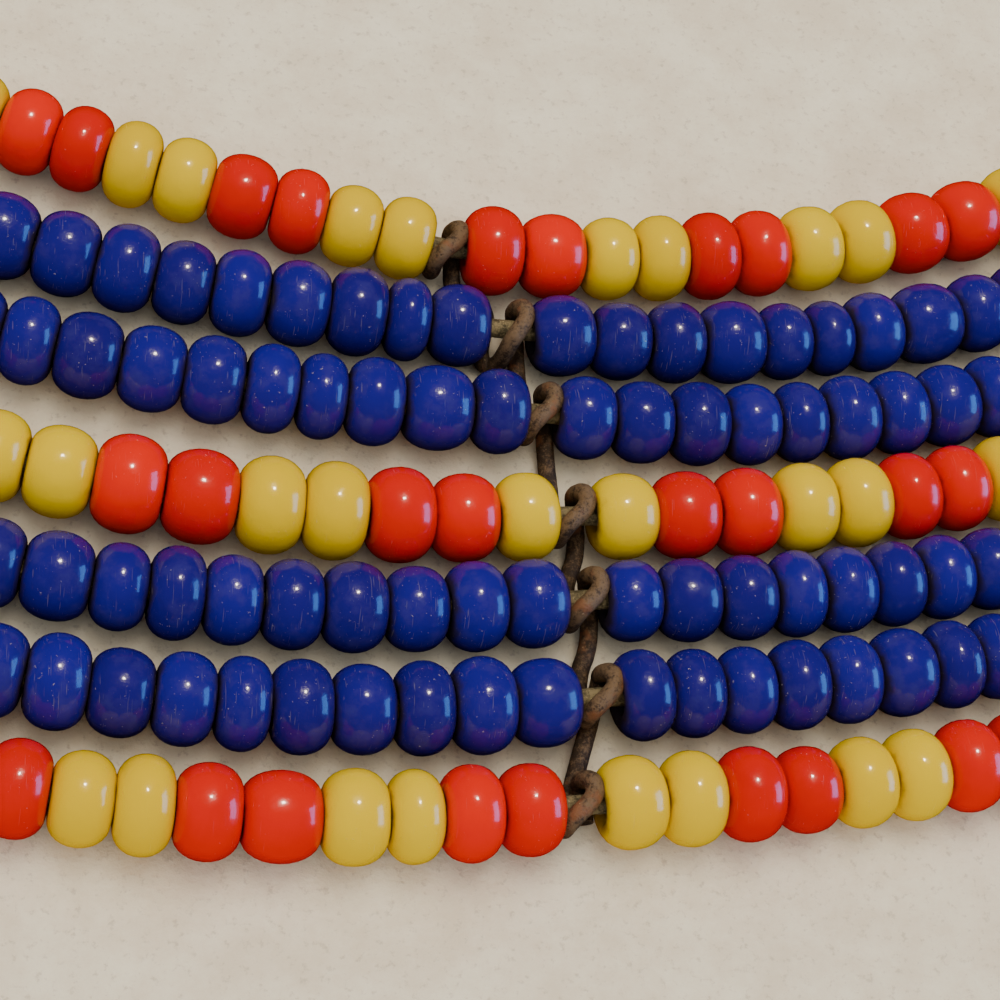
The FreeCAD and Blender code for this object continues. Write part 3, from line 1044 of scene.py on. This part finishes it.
back = Vector((
    math.sin(AZIMUTH) * math.cos(ELEVATION),
    -math.cos(AZIMUTH) * math.cos(ELEVATION),
    math.sin(ELEVATION),
))
level = (-back).cross(Vector((0, 0, 1))).normalized()
upright = level.cross(-back)
right = level * math.cos(ROLL) + upright * math.sin(ROLL)
up = upright * math.cos(ROLL) - level * math.sin(ROLL)
camera_data = bpy.data.cameras.new("camera")
camera_data.lens = LENS
camera_data.clip_start = 1 * MM
camera = bpy.data.objects.new("camera", camera_data)
turn = Matrix((right, up, back)).transposed().to_4x4()
camera.matrix_world = Matrix.Translation(AIM + back * CAMERA_DISTANCE) @ turn
bpy.context.scene.collection.objects.link(camera)
bpy.context.scene.camera = camera
print("Camera stands at", [round(value / MM, 1) for value in camera.location])


# %% The lamps
LAMP_DISTANCE = 0.5
LAMP_DIRECTION = (0.22, 0.65, 0.73)
WINDOW_DIRECTION = (0.97, 0.06, 0.14)
WARM = (1.0, 0.86, 0.66)
COOL = (0.10, 0.40, 1.0)
SKY_COLOUR = (1.0, 0.955, 0.88, 1.0)
SKY_STRENGTH = 0.94


def lamp(name, direction, width, height, power, tint):
    """A rectangular lamp that faces the aim, in a direction along right, up and back."""
    data = bpy.data.lights.new(name, "AREA")
    data.shape = "RECTANGLE"
    data.size = width
    data.size_y = height
    data.energy = power
    data.color = tint
    made = bpy.data.objects.new(name, data)
    towards = (right * direction[0] + up * direction[1] + back * direction[2]).normalized()
    made.location = AIM + towards * LAMP_DISTANCE
    side = up.cross(towards).normalized()
    over = towards.cross(side)
    made.rotation_euler = Matrix((side, over, towards)).transposed().to_euler()
    bpy.context.scene.collection.objects.link(made)
    return made


bulb = lamp("warm_bulb", LAMP_DIRECTION, width=0.045, height=0.04, power=1.7, tint=WARM)
bulb.visible_diffuse = False
shade = lamp("lamp_shade", LAMP_DIRECTION, width=0.32, height=0.32, power=1.15, tint=WARM)
shade.visible_glossy = False
window = lamp("cool_window", WINDOW_DIRECTION, width=0.22, height=0.30, power=2.2, tint=COOL)
window.visible_diffuse = False
print("Lamps:", [light.name for light in (bulb, shade, window)])

# %% The sky
world = bpy.data.worlds.new("sky")
bpy.context.scene.world = world
world.use_nodes = True
sky = world.node_tree.nodes["Background"].inputs
sky["Color"].default_value = SKY_COLOUR
sky["Strength"].default_value = SKY_STRENGTH
world.cycles_visibility.glossy = False
floor.visible_glossy = False
print("Sky strength:", SKY_STRENGTH)
